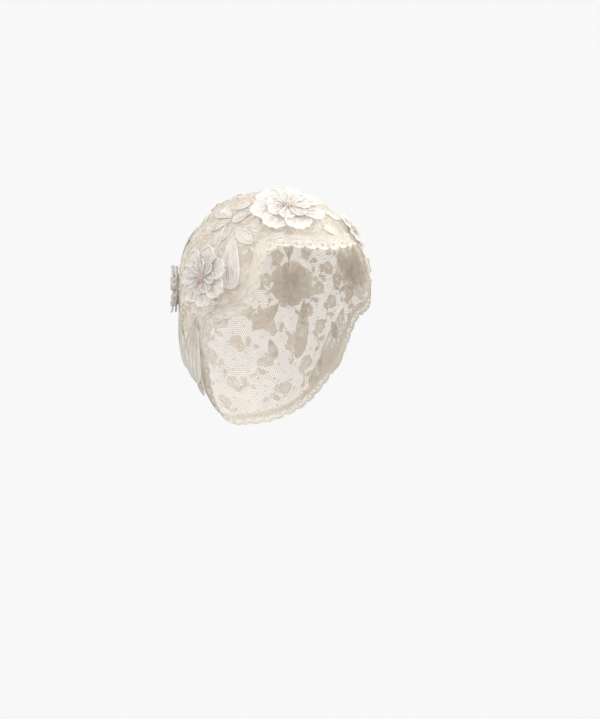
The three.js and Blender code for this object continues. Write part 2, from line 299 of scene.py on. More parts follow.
# %% Pierced sheet
def pierced(spots, triangles, openness):
    """The spots and faces of a lattice with a hole of that share of its cell round each lattice spot."""
    spots, triangles = np.asarray(spots, float), np.asarray(triangles)
    own, middles = spots[triangles], spots[triangles].mean(axis=1, keepdims=True)
    rims = own + (middles - own) * openness[triangles][..., None]
    rim_numbers = len(spots) + np.arange(triangles.size).reshape(triangles.shape)
    numbers = np.where(openness[triangles] > 0, rim_numbers, triangles)
    ends = np.concatenate([triangles[:, [0, 1]], triangles[:, [1, 2]], triangles[:, [2, 0]]])
    marks = np.concatenate([numbers[:, [0, 1]], numbers[:, [1, 2]], numbers[:, [2, 0]]])
    sorted_ends = np.sort(ends, axis=1)
    order = np.lexsort((sorted_ends[:, 1], sorted_ends[:, 0]))
    shared = (sorted_ends[order][1:] == sorted_ends[order][:-1]).all(axis=1)
    here, there = marks[order[:-1][shared]], marks[order[1:][shared]]
    bars = np.column_stack([here[:, 1], here[:, 0], there[:, 1], there[:, 0]])
    faces = numbers.tolist()
    for bar in bars.tolist():
        corners = list(dict.fromkeys(bar))
        if len(corners) > 2:
            faces.append(corners)
    used = sorted({corner for face in faces for corner in face})
    renumbered = dict(zip(used, range(len(used))))
    all_spots = np.concatenate([spots, rims.reshape(-1, spots.shape[1])])[used]
    return all_spots, [[renumbered[corner] for corner in face] for face in faces]


sample = pierced([[0, 0], [1, 0], [0, 1], [1, 1]], [[0, 1, 2], [1, 3, 2]], np.zeros(4))
print("a closed square of lattice keeps", len(sample[1]), "faces")

# %% [markdown]
# Petals and leaves are divided in rows from their base to their tip. Each row has as many points as its
# width needs, so the cells keep one size, and neighbouring rows are laced together like a zip.

# %% Rows laced into a lattice
# Rows of even triangles lie closer than their cells are wide.
ROW_PITCH = 0.87


def row_lattice(length, width_at, pitch):
    """Rows of spots (across from -1 to 1, along from 0 to 1) and the triangles between them."""
    rows = max(3, round(length / (pitch * ROW_PITCH)))
    across, along, triangles, lower = [], [], [], []
    for row in range(rows + 1):
        share = row / rows
        cells = max(1, round(width_at(share) / pitch))
        if row % 2 and cells > 1:
            steps = np.concatenate([[0], (np.arange(cells) + 0.5) / cells, [1]])
        else:
            steps = np.arange(cells + 1) / cells
        upper = list(range(len(across), len(across) + len(steps)))
        across += (2 * steps - 1).tolist()
        along += [share] * len(steps)
        i = j = 0
        while lower and (i < len(lower) - 1 or j < len(upper) - 1):
            step_up = i == len(lower) - 1 or (
                j < len(upper) - 1 and across[upper[j + 1]] < across[lower[i + 1]]
            )
            if step_up:
                triangles.append((lower[i], upper[j + 1], upper[j]))
                j += 1
            else:
                triangles.append((lower[i], lower[i + 1], upper[j]))
                i += 1
        lower = upper
    return np.array(across), np.array(along), np.array(triangles)


across, along, triangles = row_lattice(20, lambda share: 4 + 10 * share, 1.5)
print("a 20 mm petal has", len(across), "lattice points and", len(triangles), "triangles")

# %% [markdown]
# The raised outlines of corded lace are real cords, sewn along every edge and vein. Each is a thin tube
# along a line of points. It tapers at its ends, where the real thread dives into the work.

# %% Sheets and cords as patches
CORD_SIDES = 5
CORD_END = 0.3


def patch_of(points, faces, finish, thread, bake, cord=False):
    """thread is each point's place on the flat cloth in millimetres, and bake its place on the map."""
    return {
        "points": points,
        "faces": faces,
        "finish": finish,
        "thread": thread,
        "bake": bake,
        "cord": cord,
    }


def cord_patch(points, outward, radius, finish, closed=False, sides=CORD_SIDES):
    """A tube along the points. An open one thins at both ends to a share of its radius."""
    points = np.concatenate([points, points[:1]]) if closed else points
    outward = np.concatenate([outward, outward[:1]]) if closed else outward
    steps = np.linalg.norm(np.diff(points, axis=0), axis=1)
    run = np.concatenate([[0], np.cumsum(steps)])
    if closed:
        along = unit(np.roll(points[:-1], -1, axis=0) - np.roll(points[:-1], 1, axis=0))
        along = np.concatenate([along, along[:1]])
        girth = np.full(len(points), float(radius))
    else:
        along = unit(np.gradient(points, axis=0))
        from_end = np.minimum(run, run[-1] - run)
        girth = radius * np.clip(CORD_END + from_end / (2 * radius), 0, 1)
    side = unit(np.cross(along, outward))
    lifted = np.cross(side, along)
    angles = np.linspace(0, 2 * np.pi, sides + 1)
    cosines, sines = np.cos(angles)[None, :, None], np.sin(angles)[None, :, None]
    ring = cosines * side[:, None] + sines * lifted[:, None]
    tube = points[:, None] + ring * girth[:, None, None]
    number = np.arange(tube.shape[0] * tube.shape[1]).reshape(tube.shape[:2])
    corners = [number[:-1, :-1], number[1:, :-1], number[1:, 1:], number[:-1, 1:]]
    faces = np.stack(corners, axis=-1).reshape(-1, 4).tolist()
    around = np.broadcast_to(angles * radius, tube.shape[:2])
    length = np.broadcast_to(run[:, None], tube.shape[:2])
    thread = np.stack([length, around], axis=-1).reshape(-1, 2)
    bake = thread / [max(run[-1], TINY), 2 * np.pi * radius]
    return patch_of(tube.reshape(-1, 3), faces, finish, thread, bake, cord=True)


def mirrored(patches):
    """The same work for the other side of the cap. Its faces turn round so that they still look out."""
    return [
        {
            **patch,
            "points": patch["points"] * [-1, 1, 1],
            "faces": [face[::-1] for face in patch["faces"]],
        }
        for patch in patches
    ]


straight = np.column_stack([np.arange(6.0), np.zeros(6), np.zeros(6)])
upright = np.broadcast_to([0.0, 0.0, 1.0], straight.shape)
print("a short cord has", len(cord_patch(straight, upright, 0.5, 0)["faces"]), "faces")

# %% [markdown]
# A piece joins its patches in one mesh. It carries two flat maps: "thread" gives the weave its real size,
# and the other gives each patch its own place on one square, in tiles for sheets and in rows for cords,
# so that a finish can be painted onto it without two patches meeting.

# %% Build a piece
SHEET_FINISH, CORD_FINISH = 0, 1
SHEET_SHARE = 0.72
TILE_MARGIN, ROW_MARGIN, END_MARGIN = 0.02, 0.1, 0.005


def map_places(patches):
    """Each patch's places on the square map: sheets in tiles below, and cords in rows above them."""
    sheets = [p for p in patches if not p["cord"]]
    cords = [p for p in patches if p["cord"]]
    if sheets and cords:
        top = SHEET_SHARE
    else:
        top = 1.0 if sheets else 0.0
    tiles = math.ceil(math.sqrt(len(sheets))) if sheets else 1
    placed = {}
    for i, patch in enumerate(sheets):
        corner = np.array([i % tiles, i // tiles]) / tiles
        inset = TILE_MARGIN + (1 - 2 * TILE_MARGIN) * patch["bake"]
        placed[id(patch)] = (corner + inset / tiles) * [1, top]
    for i, patch in enumerate(cords):
        row = (1 - top) / len(cords)
        start = [END_MARGIN, top + row * (i + ROW_MARGIN)]
        size = [1 - 2 * END_MARGIN, row * (1 - 2 * ROW_MARGIN)]
        placed[id(patch)] = start + patch["bake"] * size
    return [placed[id(patch)] for patch in patches]


def build_piece(name, patches, finishes, nodes=()):
    """One mesh of all the patches, which rides with the cap and stands for the named solids."""
    points, faces, finish, threads, start = [], [], [], [], 0
    for patch in patches:
        points.append(patch["points"])
        threads.append(patch["thread"])
        faces += [[corner + start for corner in face] for face in patch["faces"]]
        finish += [patch["finish"]] * len(patch["faces"])
        start += len(patch["points"])
    mesh = bpy.data.meshes.new(name)
    mesh.from_pydata(np.concatenate(points) * MM, [], faces)
    for material in finishes:
        mesh.materials.append(material)
    mesh.polygons.foreach_set("material_index", finish)
    corners = np.empty(len(mesh.loops), np.int32)
    mesh.loops.foreach_get("vertex_index", corners)
    maps = {"thread": np.concatenate(threads), "OFBake": np.concatenate(map_places(patches))}
    for map_name, spots in maps.items():
        layer = mesh.uv_layers.new(name=map_name)
        layer.uv.foreach_set("vector", spots[corners].astype(np.float32).ravel())
    mesh.shade_smooth()
    piece = bpy.data.objects.new(name, mesh)
    scene.collection.objects.link(piece)
    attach(piece, "root")
    if nodes:
        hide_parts(*nodes)
    triangles = sum(len(face) - 2 for face in faces)
    print(name, "has", triangles, "triangles")
    return piece


# %% [markdown]
# ## The threads
# Every finish here is cotton, but each is worked differently. Net is fine twisted thread that scatters
# light and looks a little warm, because it is left ecru. Solid work is close parallel stitches with a
# faint rib. Cord is smooth wound thread with a soft shine. Cotton has an IOR near 1.53 and a roughness
# from 0.6, where it is mercerised, to 0.9. Real stitches lie 0.25 mm apart, which is finer than a pixel
# here, so the ribs are drawn 0.8 mm apart on the net and the edging, 1.1 mm on the cords, where they lie
# aslant, and 1.3 mm on the solid work. Sheen stands for the fuzz that brightens cloth at its edges. Thin
# cotton also lets light through, so a part of each finish is a translucent shader: it glows softly where
# the light comes from behind.

# %% Cotton finishes
COTTON_IOR = 1.53
LET_THROUGH = 0.26
SHEEN, SHEEN_ROUGHNESS = 0.2, 0.5
BLOTCH_MM = 9
SHADE_ENDS, COLOUR_STARTS = 0.36, 0.62
# A wave texture turns through this many radians in one unit, and a rib is one whole turn.
WAVE_RADIANS = 20


def cotton(name, colour, shade, roughness, rib_mm, rib_depth, ribs_lean):
    """Cotton work: two near colours in soft blotches, and ribs of stitches across or aslant."""
    material = bpy.data.materials.new(name)
    material.use_nodes = True
    tree = material.node_tree
    tree.nodes.clear()
    place = add_node(tree, "ShaderNodeTexCoord")
    blotches = add_node(
        tree,
        "ShaderNodeTexNoise",
        {"Vector": place.outputs["Object"]},
        {"Scale": 1 / (BLOTCH_MM * MM), "Detail": 3.0, "Roughness": 0.6},
    )
    tones = add_node(tree, "ShaderNodeValToRGB", {"Fac": blotches.outputs["Fac"]})
    stops = tones.color_ramp.elements
    stops[0].position, stops[0].color = SHADE_ENDS, linear(shade)
    stops[1].position, stops[1].color = COLOUR_STARTS, linear(colour)
    flat_cloth = add_node(tree, "ShaderNodeUVMap", uv_map="thread")
    ribs = add_node(
        tree,
        "ShaderNodeTexWave",
        {"Vector": flat_cloth.outputs["UV"]},
        {
            "Scale": 2 * math.pi / (WAVE_RADIANS * rib_mm),
            "Distortion": 1.2,
            "Detail": 1.0,
            "Detail Scale": 2.0,
        },
        bands_direction="DIAGONAL" if ribs_lean else "X",
    )
    relief = add_node(
        tree,
        "ShaderNodeBump",
        {"Height": ribs.outputs["Fac"]},
        {"Strength": 0.6, "Distance": rib_depth * MM},
    )
    thread = add_node(
        tree,
        "ShaderNodeBsdfPrincipled",
        {"Base Color": tones.outputs["Color"], "Normal": relief.outputs["Normal"]},
        {
            "Roughness": roughness,
            "IOR": COTTON_IOR,
            "Sheen Weight": SHEEN,
            "Sheen Roughness": SHEEN_ROUGHNESS,
        },
    )
    from_behind = add_node(tree, "ShaderNodeBsdfTranslucent", {"Color": tones.outputs["Color"]})
    thin = add_node(
        tree,
        "ShaderNodeMixShader",
        {1: thread.outputs[0], 2: from_behind.outputs[0]},
        {0: LET_THROUGH},
    )
    add_node(tree, "ShaderNodeOutputMaterial", {"Surface": thin.outputs[0]})
    return material


print("thin cotton lets through", LET_THROUGH, "of the light")

# %% The eight finishes
# Twisted and unbleached: the warmest and the most matt.
net_cotton = cotton("twisted_cotton_net", "e9e0d5", "dcd2c5", 0.9, 0.8, 0.1, False)
# The same thread laid as a cord: its smooth turns catch a little more light than the net.
sprig_cotton = cotton("ecru_cotton_sprig_cord", "eee8df", "e4dcd0", 0.75, 0.8, 0.12, True)
# Closer work, so it looks paler than the net, and as matt.
edging_cotton = cotton("ecru_cotton_edging", "f0ebe2", "e7e0d5", 0.85, 0.8, 0.12, False)
# Bleached satin stitch: a clean white with ribs that show as a soft grain.
blossom_cotton = cotton("white_cotton_solid_work", "f4f0ec", "ebe6e1", 0.8, 1.3, 0.2, False)
# The same stitch in half-bleached thread, a shade darker than the blossoms.
leaf_cotton = cotton("ivory_cotton_solid_work", "f2eee8", "e7e2da", 0.82, 1.3, 0.2, False)
# Mercerised cord: the whitest and smoothest, so it draws each petal's edge as a bright line.
cord_cotton = cotton("wound_white_cotton_cord", "f8f5f2", "eeeae6", 0.6, 0.8, 0.12, True)
leaf_cord_cotton = cotton("wound_ivory_cotton_cord", "f3f0ea", "e7e2d9", 0.62, 0.8, 0.12, True)
# Thread wound in knots, in a darker blush that is painted shade at the heart of a blossom.
knot_cotton_painted_shade = cotton("cotton_knots_blush_painted_shade", "ebe0d6", "dccbbf", 0.7, 0.8, 0.12, True)
print("finishes:", [m.name for m in bpy.data.materials if "cotton" in m.name])

# %% [markdown]
# ## The cap's edge
# The edge runs from the brow down before the ears, under them and round the nape. It is a smooth
# closed curve through the same points as the solid's, spaced by the square root of their distance so
# that it doesn't loop at a tight bend. Seen from the middle of the net, each bearing meets it once, so a
# bearing and an angle from that middle name every spot of the cap.

# %% Edge curve
# Degrees around and up of each bend, from the brow to the nape.
EDGE = [
    (0, 25.5), (16, 27), (30, 28.5), (38.5, 25), (41.5, 14), (43.5, 3), (50, -6.5), (62, -12.5),
    (76, -18.5), (82, -27), (87, -39), (98, -54), (114, -65), (142, -70.5), (180, -71.5),
]
NET_MIDDLE = place_at(180, 35)
STEPS_IN_BEND = 40


def smooth_closed(bends):
    """A centripetal Catmull-Rom curve through the bends, as three-dimensional points."""
    before, after, last = (np.roll(bends, step, axis=0) for step in (1, -1, -2))
    d0, d1, d2 = (
        np.sqrt(np.linalg.norm(b - a, axis=1, keepdims=True))
        for a, b in ((before, bends), (bends, after), (after, last))
    )
    start = ((bends - before) / d0 - (after - before) / (d0 + d1) + (after - bends) / d1) * d1
    end = ((after - bends) / d1 - (last - bends) / (d1 + d2) + (last - after) / d2) * d1
    t = (np.arange(STEPS_IN_BEND) / STEPS_IN_BEND)[None, :, None]
    points = bends[:, None] * (2 * t**3 - 3 * t**2 + 1) + start[:, None] * (t**3 - 2 * t**2 + t)
    points = points + after[:, None] * (3 * t**2 - 2 * t**3) + end[:, None] * (t**3 - t**2)
    return points.reshape(-1, 3)


half = np.array(EDGE)
turns = np.concatenate([half * [-1, 1], half[-2:0:-1]])
bend_directions = direction_of(turns[:, 0], turns[:, 1])
edge_points = smooth_closed(bend_directions * surface_radius(bend_directions)[:, None])
edge_steps = np.linalg.norm(edge_points - np.roll(edge_points, 1, axis=0), axis=1)
EDGE_LENGTH = edge_steps.sum()
edge_run = np.cumsum(edge_steps) - edge_steps[0]


def bearing_and_angle(directions):
    """Where directions lie as seen from the middle of the net, both in radians."""
    bearing = np.arctan2(directions @ NET_MIDDLE["aside"], directions @ NET_MIDDLE["ahead"])
    return bearing, np.arccos(np.clip(directions @ NET_MIDDLE["out"], -1, 1))


def from_middle(bearing, angle):
    """The directions at those bearings and angles, the opposite of bearing_and_angle."""
    aside, ahead = NET_MIDDLE["aside"], NET_MIDDLE["ahead"]
    heading = np.sin(bearing)[:, None] * aside + np.cos(bearing)[:, None] * ahead
    return np.cos(angle)[:, None] * NET_MIDDLE["out"] + np.sin(angle)[:, None] * heading


edge_bearings, edge_angles = bearing_and_angle(unit(edge_points))
sorted_bearings = np.argsort(edge_bearings)


def edge_angle_at(bearing):
    """How far the edge lies from the middle of the net at a bearing, in radians."""
    return np.interp(
        bearing, edge_bearings[sorted_bearings], edge_angles[sorted_bearings], period=2 * np.pi
    )


def edge_bearing_at(run):
    """The bearing that far along the edge, in millimetres from the middle of the brow."""
    whole = np.unwrap(edge_bearings)
    once_round = np.sign(whole[-1] - whole[0]) * 2 * np.pi
    runs = np.append(edge_run, EDGE_LENGTH)
    return np.interp(run % EDGE_LENGTH, runs, np.append(whole, whole[0] + once_round))


print("the edge is", round(EDGE_LENGTH), "mm long")

# %% [markdown]
# ## The net ground
# The ground is a twisted net with six-sided holes. Real tulle has them about 1 mm apart, which is one
# pixel here, so this one has them 1.6 mm apart. A ball divided into even triangles gives the lattice,
# because a flat net laid over a crown would pleat. Only the triangles inside the cap's edge are kept.

# %% Ball lattice
NET_DIVISIONS = 62


def ball_lattice(divisions):
    """Unit directions and triangles of an icosahedron with each face divided that often."""
    ball = bmesh.new()
    bmesh.ops.create_icosphere(ball, subdivisions=1, radius=1)
    corners = np.array([list(v.co) for v in ball.verts])
    sides = np.array([[v.index for v in face.verts] for face in ball.faces])
    ball.free()
    steps = [(i, j) for i in range(divisions + 1) for j in range(divisions + 1 - i)]
    number = {step: n for n, step in enumerate(steps)}
    shares = np.array([(divisions - i - j, i, j) for i, j in steps]) / divisions
    upright = [step for step in steps if sum(step) < divisions]
    hanging = [step for step in steps if sum(step) < divisions - 1]
    small = [(number[i, j], number[i + 1, j], number[i, j + 1]) for i, j in upright]
    small += [(number[i + 1, j], number[i + 1, j + 1], number[i, j + 1]) for i, j in hanging]
    directions = unit(shares @ corners[sides]).reshape(-1, 3)
    first_of_side = np.arange(len(sides)) * len(steps)
    triangles = (np.array(small)[None] + first_of_side[:, None, None]).reshape(-1, 3)
    rounded = np.round(directions, 6)
    _, first, same = np.unique(rounded, axis=0, return_index=True, return_inverse=True)
    return directions[first], same.reshape(-1)[triangles]


net_directions, net_triangles = ball_lattice(NET_DIVISIONS)
print("the whole ball would have", len(net_directions), "holes")

# %% Trim to the cap
NET_STOPS_SHORT = 1.5


def inside_edge(directions, margin):
    """True where a direction lies inside the cap's edge by at least that many millimetres."""
    bearing, angle = bearing_and_angle(directions)
    return angle < edge_angle_at(bearing) - margin / surface_radius(directions)


kept = inside_edge(net_directions, NET_STOPS_SHORT)[net_triangles].all(axis=1)
used, renumbered = np.unique(net_triangles[kept], return_inverse=True)
net_directions, net_triangles = net_directions[used], renumbered.reshape(-1, 3)
print("the cap keeps", len(net_directions), "of them")

# %% [markdown]
# Sprigs are worked into the net: a small flower, a curved stem and three leaves, where the holes are
# darned shut and a cord is sewn round. They are spread by a golden spiral, which never lines them up
# and never crowds them, and each is turned by a seeded random number. A finer spiral spreads the dots
# between them, each a single hole that is shut.

# %% Sprig places
# A whole ball would carry this many. The margin to the edge is in millimetres.
BALL_SPRIGS = 168
SPRIG_MARGIN = 19
SPRIG_TURN = 70
GOLDEN = math.pi * (1 + math.sqrt(5))
SEED = 8
rng = np.random.default_rng(SEED)


def spiral_directions(count):
    k = np.arange(count) + 0.5
    up = np.arcsin(1 - 2 * k / count)
    return direction_of(np.degrees(GOLDEN * k), np.degrees(up))


def place_of(direction):
    x, y, z = direction
    return place_at(math.degrees(math.atan2(-x, -y)), math.degrees(math.asin(z)))


sprig_directions = spiral_directions(BALL_SPRIGS)
sprig_directions = sprig_directions[inside_edge(sprig_directions, SPRIG_MARGIN)]
sprigs = [turned(place_of(d), rng.uniform(-SPRIG_TURN, SPRIG_TURN)) for d in sprig_directions]
print(len(sprigs), "sprigs")

# %% Sprig shapes
# All in millimetres aside and ahead of the sprig's own place.
SPRIG_BLOOM = {"middle": (0, 5.5), "radius": 6.2, "petals": 5, "notch": 0.36}
SPRIG_EYE = 1.5
# Each leaf's stalk, heading in degrees, length and width.
SPRIG_LEAVES = [((0.6, -3.5), 62, 7.5, 3.8), ((-1.2, -6.5), -70, 8, 4.0), ((-3.2, -11.5), 160, 5, 3.0)]
SPRIG_STEM = [(0, -0.5), (0.5, -4), (-1.2, -8), (-3.2, -11.5)]
SLIM_LEAF, BLUNT_LEAF = 1.2, 1.9
LEAF_BLUNTNESS, PETAL_BLUNTNESS = 0.9, 0.55


def bloom_reach(angle, radius, petals, notch):
    """How far a round-petalled flower reaches at an angle."""
    return radius * (1 - notch * (1 - np.sqrt(np.abs(np.sin(petals * angle / 2)))))


def leaf_fullness(share, fullness, bluntness=LEAF_BLUNTNESS):
    """Half of a leaf's width as a share of its widest half. A higher fullness is later and blunter."""
    return np.sin(np.pi * np.clip(share, 0, 1) ** fullness) ** (bluntness / fullness)


def in_bloom(spots):
    offset = spots - SPRIG_BLOOM["middle"]
    distance, angle = np.hypot(*offset.T), np.arctan2(offset[:, 1], offset[:, 0])
    reach = bloom_reach(angle, SPRIG_BLOOM["radius"], SPRIG_BLOOM["petals"], SPRIG_BLOOM["notch"])
    return (distance < reach) & (distance > SPRIG_EYE)


def leaf_ways(heading):
    """The ways ahead and aside of a leaf, on the flat pattern."""
    turn = math.radians(heading)
    ahead = np.array([math.sin(turn), math.cos(turn)])
    return ahead, np.array([ahead[1], -ahead[0]])


def in_leaf(spots, stalk, heading, length, width):
    ahead, aside = leaf_ways(heading)
    offset = spots - stalk
    share = offset @ ahead / length
    half = width / 2 * leaf_fullness(share, SLIM_LEAF)
    return (np.abs(offset @ aside) < half) & (share > 0) & (share < 1)


print("a sprig has", SPRIG_BLOOM["petals"], "petals and", len(SPRIG_LEAVES), "leaves")

# %% Darn the sprigs
def flattened(place, directions):
    """Where directions lie in the flat pattern round a place, the opposite of laying it."""
    heading = np.column_stack([directions @ place["aside"], directions @ place["ahead"]])
    angle = np.arccos(np.clip(directions @ place["out"], -1, 1))
    return unit(heading + TINY) * (angle * surface_radius(place["out"]))[:, None]


# A sprig lies wholly within this angle of its place, in radians.
SPRIG_REACH = 0.3
darned = np.zeros(len(net_directions), bool)
for sprig in sprigs:
    near = np.flatnonzero(net_directions @ sprig["out"] > math.cos(SPRIG_REACH))
    spots = flattened(sprig, net_directions[near])
    shut = in_bloom(spots)
    for leaf in SPRIG_LEAVES:
        shut |= in_leaf(spots, *leaf)
    darned[near[shut]] = True
print("darned shut:", darned.sum(), "holes")

# %% Net piece
# The net's own height and the top of its solid, in millimetres off the inner surface.
NET_LIFT, NET_TOP = 0.5, 1.35
PUCKER_DEPTH, PUCKER_TURNS = 0.3, 19


def net_lift(directions):
    """The net's lift off the inner surface, with the soft puckers that sewn-on pieces draw into it."""
    x, y, z = directions.T * PUCKER_TURNS
    return NET_LIFT + PUCKER_DEPTH * (np.sin(x + 2 * z) * np.sin(y - z) + 1) / 2


NET_OPENNESS = 0.64
BALL_DOTS = 1500
# The cosine of the angle within which a dot finds a hole, and the widest angle on the flat map.
DOT_NEARNESS, MAP_REACH = 0.9998, 2.35

open_share = np.full(len(net_directions), NET_OPENNESS)
open_share[darned] = 0
for dot in spiral_directions(BALL_DOTS):
    nearness = net_directions @ dot
    if nearness.max() > DOT_NEARNESS:
        open_share[nearness.argmax()] = 0
net_spots, net_faces = pierced(net_directions, net_triangles, open_share)
net_spots = unit(net_spots)


def cloth_patch(directions, lift, faces):
    """The patch of a cloth that is spread out flat from the middle of the net."""
    bearing, angle = bearing_and_angle(directions)
    flat = np.column_stack([np.sin(bearing), np.cos(bearing)]) * angle[:, None]
    on_map = 0.5 + 0.5 * flat / MAP_REACH
    return patch_of(off_surface(directions, lift), faces, SHEET_FINISH, flat * HALF_WIDTH, on_map)


net_patch = cloth_patch(net_spots, net_lift(net_spots), net_faces)
net_piece = build_piece("net_ground_lace", [net_patch], [net_cotton], ["lace_ground"])

# %% Sprig cords
SPRIG_CORD = 0.42
SPRIG_STEM_CORD = SPRIG_CORD * 1.2
SPRIG_LIFT = 0.2
CORD_STEP = 1.1
STEPS_IN_PETAL = 9


def outline_of_bloom(middle, radius, petals, notch):
    steps = petals * STEPS_IN_PETAL
    angle = np.arange(steps) / steps * 2 * np.pi
    reach = bloom_reach(angle, radius, petals, notch)
    return np.array(middle) + np.column_stack([np.cos(angle), np.sin(angle)]) * reach[:, None]


def outline_of_leaf(stalk, heading, length, width):
    ahead, aside = leaf_ways(heading)
    share = np.linspace(0, 1, max(5, round(length / CORD_STEP)))
    half = width / 2 * leaf_fullness(share, SLIM_LEAF)
    midrib, across = stalk + share[:, None] * length * ahead, half[:, None] * aside
    side, other = midrib + across, midrib - across
    return np.concatenate([side, other[-2:0:-1]])


def cord_on_net(place, pattern, radius, finish, closed=False, sides=4):
    """A cord along a flat pattern, sunk a little into the net."""
    directions = reached(place, pattern)
    points = off_surface(directions, net_lift(directions) + SPRIG_LIFT)
    return cord_patch(points, outward_at(directions), radius, finish, closed, sides)


eye = outline_of_bloom(SPRIG_BLOOM["middle"], SPRIG_EYE, 1, 0)
sprig_patches = []
for sprig in sprigs:
    leaves = [outline_of_leaf(*leaf) for leaf in SPRIG_LEAVES]
    for loop in [outline_of_bloom(**SPRIG_BLOOM), eye, *leaves]:
        sprig_patches.append(cord_on_net(sprig, loop, SPRIG_CORD, SHEET_FINISH, closed=True))
    sprig_patches.append(cord_on_net(sprig, SPRIG_STEM, SPRIG_STEM_CORD, SHEET_FINISH))
sprig_piece = build_piece("net_sprig_cords", sprig_patches, [sprig_cotton])

# %% [markdown]
# ## The scalloped edging
# A closer lace is sewn round the border and hangs over it in small scallops, each with a ringed eyelet.
# Eyelash threads stand out from its edge, left from the warp when the lace is cut from the loom. It is
# one strip of lattice that follows the edge, offset inward and outward from it, with a waved line of
# close work along its inner part.

# %% Edging strip
EDGING_WIDTH, SCALLOP_DEPTH, SCALLOP_PITCH = 10, 3, 11
EDGING_LIFT = NET_TOP + 0.5
EDGING_CELL = 1.35
SCALLOPS = round(EDGE_LENGTH / SCALLOP_PITCH)
scallop_length = EDGE_LENGTH / SCALLOPS


def bulge_at(run):
    """How far a scallop hangs out, as a share of its depth."""
    return np.sqrt(np.abs(np.sin(np.pi * run / scallop_length)))


def edging_directions(run, across):
    """Directions at a distance along the edge and a share across the edging, 1 at the scallops' rim."""
    bearing = edge_bearing_at(run)
    middle_angle = edge_angle_at(bearing)
    radius = surface_radius(from_middle(bearing, middle_angle))
    offset = across * (EDGING_WIDTH + SCALLOP_DEPTH * bulge_at(run)) - EDGING_WIDTH
    return from_middle(bearing, middle_angle + offset / radius)


edging_columns = round(EDGE_LENGTH / EDGING_CELL)
edging_rows = round((EDGING_WIDTH + SCALLOP_DEPTH) / (ROW_PITCH * EDGING_CELL))
row_of = np.repeat(np.arange(edging_rows + 1), edging_columns)
column_of = np.tile(np.arange(edging_columns), edging_rows + 1)
run_of = (column_of + 0.5 * (row_of % 2)) * EDGE_LENGTH / edging_columns
across_of = row_of / edging_rows


def edging_triangles():
    triangles = []
    for row in range(edging_rows):
        for column in range(edging_columns):
            start, onward = row * edging_columns, (column + 1) % edging_columns
            a, b = start + column, start + onward
            c, d = a + edging_columns, b + edging_columns
            triangles += [(a, c, d), (a, d, b)] if row % 2 else [(a, c, b), (b, c, d)]
    return np.array(triangles)


print(SCALLOPS, "scallops, each", round(scallop_length, 2), "mm long")

# %% Edging piece
EDGING_OPENNESS, EYELET_OPENNESS = 0.56, 0.85
EYELET_ACROSS = 0.66
EYELET_RADIUS, EYELET_WALL, EYELET_LIP = 1.7, 1.5, 0.4
VINE_ACROSS, VINE_SWING, VINE_HALF = 0.3, 0.1, 0.07


def vine_at(run):
    """The waved line of close work along the edging, as a share across it."""
    return VINE_ACROSS + VINE_SWING * np.cos(2 * np.pi * run / scallop_length)


scallop_run = run_of % scallop_length - scallop_length / 2
scallop_across = (across_of - EYELET_ACROSS) * (EDGING_WIDTH + SCALLOP_DEPTH)
eyelet_distance = np.hypot(scallop_run, scallop_across)
open_share = np.full(len(run_of), EDGING_OPENNESS)
open_share[eyelet_distance < EYELET_RADIUS + EYELET_WALL] = 0
open_share[eyelet_distance < EYELET_RADIUS - EYELET_LIP] = EYELET_OPENNESS
open_share[np.abs(across_of - vine_at(run_of)) < VINE_HALF] = 0
open_share[(row_of == 0) | (row_of >= edging_rows - 1)] = 0
strip_spots, strip_faces = pierced(edging_directions(run_of, across_of), edging_triangles(), open_share)
edging_lift = np.full(len(strip_spots), EDGING_LIFT)
edging_patch = cloth_patch(unit(strip_spots), edging_lift, strip_faces)
edging_piece = build_piece(
    "scalloped_edging_lace", [edging_patch], [edging_cotton], ["scallop_edging"]
)

# %% Edging cords and eyelashes
RIM_CORD, BORDER_CORD, RING_CORD, LASH_RADIUS = 0.55, 0.38, 0.36, 0.17
EDGING_CORD_LIFT = EDGING_LIFT + 0.2
STEPS_IN_SCALLOP, STEPS_IN_RING = 12, 10
LASH_SPACING, LASH_LENGTH = 1.25, 3.2
LASH_SHORTEST, LASH_LONGEST, LASH_LEAN = 0.55, 1.1, 1.1
LASH_ROOT, STEPS_IN_LASH = 0.99, 3


def cord_along_edging(run, across, lift, radius, closed=True, sides=4):
    """run is in millimetres along the edge, and across is the share across the edging."""
    directions = edging_directions(run, across)
    points = off_surface(directions, np.full(len(directions), lift))
    return cord_patch(points, outward_at(directions), radius, SHEET_FINISH, closed, sides)


steps = np.arange(SCALLOPS * STEPS_IN_SCALLOP) / STEPS_IN_SCALLOP * scallop_length
edging_cords = [
    cord_along_edging(steps, np.ones(len(steps)), EDGING_CORD_LIFT, RIM_CORD, sides=5),
    cord_along_edging(steps, np.zeros(len(steps)), EDGING_CORD_LIFT, BORDER_CORD),
    cord_along_edging(steps, vine_at(steps), EDGING_CORD_LIFT, BORDER_CORD),
]
ring_angle = np.arange(STEPS_IN_RING) / STEPS_IN_RING * 2 * np.pi
for scallop in range(SCALLOPS):
    run = (scallop + 0.5) * scallop_length + EYELET_RADIUS * np.cos(ring_angle)
    across = EYELET_ACROSS + EYELET_RADIUS * np.sin(ring_angle) / (EDGING_WIDTH + SCALLOP_DEPTH)
    edging_cords.append(cord_along_edging(run, across, EDGING_CORD_LIFT, RING_CORD))
for run in np.arange(0, EDGE_LENGTH, LASH_SPACING):
    length = LASH_LENGTH * rng.uniform(LASH_SHORTEST, LASH_LONGEST)
    reach = length / (EDGING_WIDTH + SCALLOP_DEPTH)
    runs = run + np.linspace(0, rng.uniform(-LASH_LEAN, LASH_LEAN), STEPS_IN_LASH)
    across = np.linspace(LASH_ROOT, 1 + reach, STEPS_IN_LASH)
    lash = cord_along_edging(runs, across, EDGING_LIFT, LASH_RADIUS, closed=False, sides=3)
    edging_cords.append(lash)
